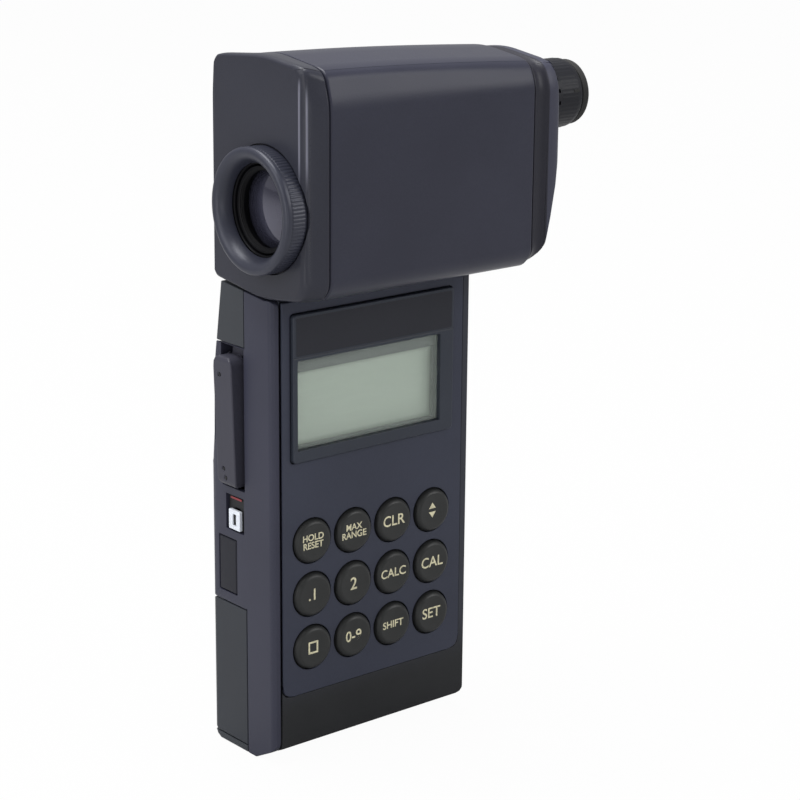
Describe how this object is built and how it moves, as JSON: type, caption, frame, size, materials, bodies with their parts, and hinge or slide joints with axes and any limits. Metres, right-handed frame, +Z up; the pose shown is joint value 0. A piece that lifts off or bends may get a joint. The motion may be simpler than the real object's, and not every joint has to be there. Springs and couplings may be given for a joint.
{
  "type": "luminance meter",
  "caption": "Hand-held luminance meter: lens and focus ring on a boxy optical head with a rear eyepiece, over a flat grip with display, round keys and side trigger.",
  "frame": {"origin": "centre of the grip's flat base", "axes": "+X from the objective towards the eyepiece, -Y out of the keypad and display, +Z up along the grip"},
  "size_m": [0.1164, 0.0483, 0.2028],
  "materials": {
    "navy_shell": "satin navy paint, fine texture",
    "navy_panel": "satin navy",
    "navy_dark": "satin dark navy paint",
    "ring_finish": "dark navy anodised, fine ribs",
    "grey_shell": "satin dark grey, fine texture",
    "black_plastic": "satin black",
    "key_cap": "satin black, printed symbols",
    "black_rubber": "dull black",
    "clear_window": "clear, smooth",
    "lcd_panel": "grey-green display",
    "white_plastic": "white, satin",
    "red_mark": "red paint",
    "coated_glass": "coated lens glass",
    "mirror_coat": "front-surface mirror",
    "dark_steel": "dark plated steel",
    "nickel": "nickel plated spring metal",
    "black_aluminium": "matt black anodised",
    "dioptre_plastic": "satin black, fluted",
    "circuit_board": "green solder mask",
    "cell_sleeve": "printed cell sleeve"
  },
  "bodies": {
    "housing": {"front_case": "navy_shell", "head_front": "navy_shell", "head_body": "navy_shell", "keypad_panel": "navy_panel", "rear_cap": "navy_dark", "rear_case": "grey_shell", "front_cover": "black_plastic", "display_bezel": "black_plastic", "lcd_holder": "black_plastic", "switch_tray": "black_plastic", "output_jack": "black_plastic", "trigger_switch": "black_plastic", "keypad_mat": "black_rubber", "display_window": "clear_window", "lcd_glass": "lcd_panel", "switch_mark": "red_mark", "finder_prism": "coated_glass", "aperture_mirror": "mirror_coat", "board_screw_1": "dark_steel", "board_screw_2": "dark_steel", "case_screw_1": "dark_steel", "case_screw_2": "dark_steel", "case_screw_3": "dark_steel", "case_screw_4": "dark_steel", "trigger_pin": "dark_steel", "neck_plate": "dark_steel", "neck_bolt": "dark_steel", "contact_link": "nickel", "contact_plus": "nickel", "contact_minus": "nickel", "optics_chassis": "black_aluminium", "lens_barrel": "black_aluminium", "eyepiece_tube": "black_aluminium", "main_board": "circuit_board", "sensor_unit": "circuit_board", "cell_1": "cell_sleeve", "cell_2": "cell_sleeve"},
    "trigger": {"trigger_lever": "grey_shell"},
    "power_knob": {"switch_knob": "white_plastic"},
    "focus_collar": {"focus_ring": "ring_finish"},
    "focus_cell": {"lens_cell": "black_aluminium", "objective_lens": "coated_glass"},
    "dioptre": {"dioptre_ring": "dioptre_plastic", "eyecup": "black_rubber"},
    "eye_lens": {"eyepiece_lens": "coated_glass"},
    "battery_door": {"battery_cover": "grey_shell"},
    "jack_door": {"jack_cover": "grey_shell"},
    "push_key_11": {"key_11": "key_cap"},
    "push_key_12": {"key_12": "key_cap"},
    "push_key_13": {"key_13": "key_cap"},
    "push_key_14": {"key_14": "key_cap"},
    "push_key_21": {"key_21": "key_cap"},
    "push_key_22": {"key_22": "key_cap"},
    "push_key_23": {"key_23": "key_cap"},
    "push_key_24": {"key_24": "key_cap"},
    "push_key_31": {"key_31": "key_cap"},
    "push_key_32": {"key_32": "key_cap"},
    "push_key_33": {"key_33": "key_cap"},
    "push_key_34": {"key_34": "key_cap"}
  },
  "joints": [
    {"name": "trigger_pivot", "type": "hinge", "parent": "housing", "child": "trigger", "pos_m": [-0.0318, 0.00415, 0.0825], "axis": [0, 1, 0], "range_deg": [0, 3.4], "stiffness_Nm_per_rad": 0.6, "springref_deg": -3.44},
    {"name": "power_slide", "type": "slide", "parent": "housing", "child": "power_knob", "axis": [0, 0, 1], "range_m": [0, 0.002]},
    {"name": "focus_turn", "type": "hinge", "parent": "housing", "child": "focus_collar", "pos_m": [-0.0421, -0.0134, 0.1617], "axis": [1, 0, 0], "range_deg": [0, 270]},
    {"name": "focus_slide", "type": "slide", "parent": "housing", "child": "focus_cell", "axis": [-1, 0, 0], "range_m": [0, 0.003]},
    {"name": "dioptre_turn", "type": "hinge", "parent": "housing", "child": "dioptre", "pos_m": [0.0538, -0.0134, 0.1839], "axis": [1, 0, 0], "range_deg": [-90, 90]},
    {"name": "eye_lens_slide", "type": "slide", "parent": "housing", "child": "eye_lens", "axis": [1, 0, 0], "range_m": [-0.001, 0.001]},
    {"name": "battery_door_slide", "type": "slide", "parent": "housing", "child": "battery_door", "axis": [0, 1, 0], "range_m": [0, 0.018]},
    {"name": "jack_door_slide", "type": "slide", "parent": "housing", "child": "jack_door", "axis": [-1, 0, 0], "range_m": [0, 0.008]},
    {"name": "key_11_press", "type": "slide", "parent": "housing", "child": "push_key_11", "axis": [0, 1, 0], "range_m": [0, 0.001], "stiffness_N_per_m": 800, "springref_m": -0.0003},
    {"name": "key_12_press", "type": "slide", "parent": "housing", "child": "push_key_12", "axis": [0, 1, 0], "range_m": [0, 0.001], "stiffness_N_per_m": 800, "springref_m": -0.0003},
    {"name": "key_13_press", "type": "slide", "parent": "housing", "child": "push_key_13", "axis": [0, 1, 0], "range_m": [0, 0.001], "stiffness_N_per_m": 800, "springref_m": -0.0003},
    {"name": "key_14_press", "type": "slide", "parent": "housing", "child": "push_key_14", "axis": [0, 1, 0], "range_m": [0, 0.001], "stiffness_N_per_m": 800, "springref_m": -0.0003},
    {"name": "key_21_press", "type": "slide", "parent": "housing", "child": "push_key_21", "axis": [0, 1, 0], "range_m": [0, 0.001], "stiffness_N_per_m": 800, "springref_m": -0.0003},
    {"name": "key_22_press", "type": "slide", "parent": "housing", "child": "push_key_22", "axis": [0, 1, 0], "range_m": [0, 0.001], "stiffness_N_per_m": 800, "springref_m": -0.0003},
    {"name": "key_23_press", "type": "slide", "parent": "housing", "child": "push_key_23", "axis": [0, 1, 0], "range_m": [0, 0.001], "stiffness_N_per_m": 800, "springref_m": -0.0003},
    {"name": "key_24_press", "type": "slide", "parent": "housing", "child": "push_key_24", "axis": [0, 1, 0], "range_m": [0, 0.001], "stiffness_N_per_m": 800, "springref_m": -0.0003},
    {"name": "key_31_press", "type": "slide", "parent": "housing", "child": "push_key_31", "axis": [0, 1, 0], "range_m": [0, 0.001], "stiffness_N_per_m": 800, "springref_m": -0.0003},
    {"name": "key_32_press", "type": "slide", "parent": "housing", "child": "push_key_32", "axis": [0, 1, 0], "range_m": [0, 0.001], "stiffness_N_per_m": 800, "springref_m": -0.0003},
    {"name": "key_33_press", "type": "slide", "parent": "housing", "child": "push_key_33", "axis": [0, 1, 0], "range_m": [0, 0.001], "stiffness_N_per_m": 800, "springref_m": -0.0003},
    {"name": "key_34_press", "type": "slide", "parent": "housing", "child": "push_key_34", "axis": [0, 1, 0], "range_m": [0, 0.001], "stiffness_N_per_m": 800, "springref_m": -0.0003}
  ],
  "couplings": [
    {"joint": "focus_slide", "follows": "focus_turn", "m_per_rad": 0.00063662},
    {"joint": "eye_lens_slide", "follows": "dioptre_turn", "m_per_rad": 0.00063662}
  ]
}
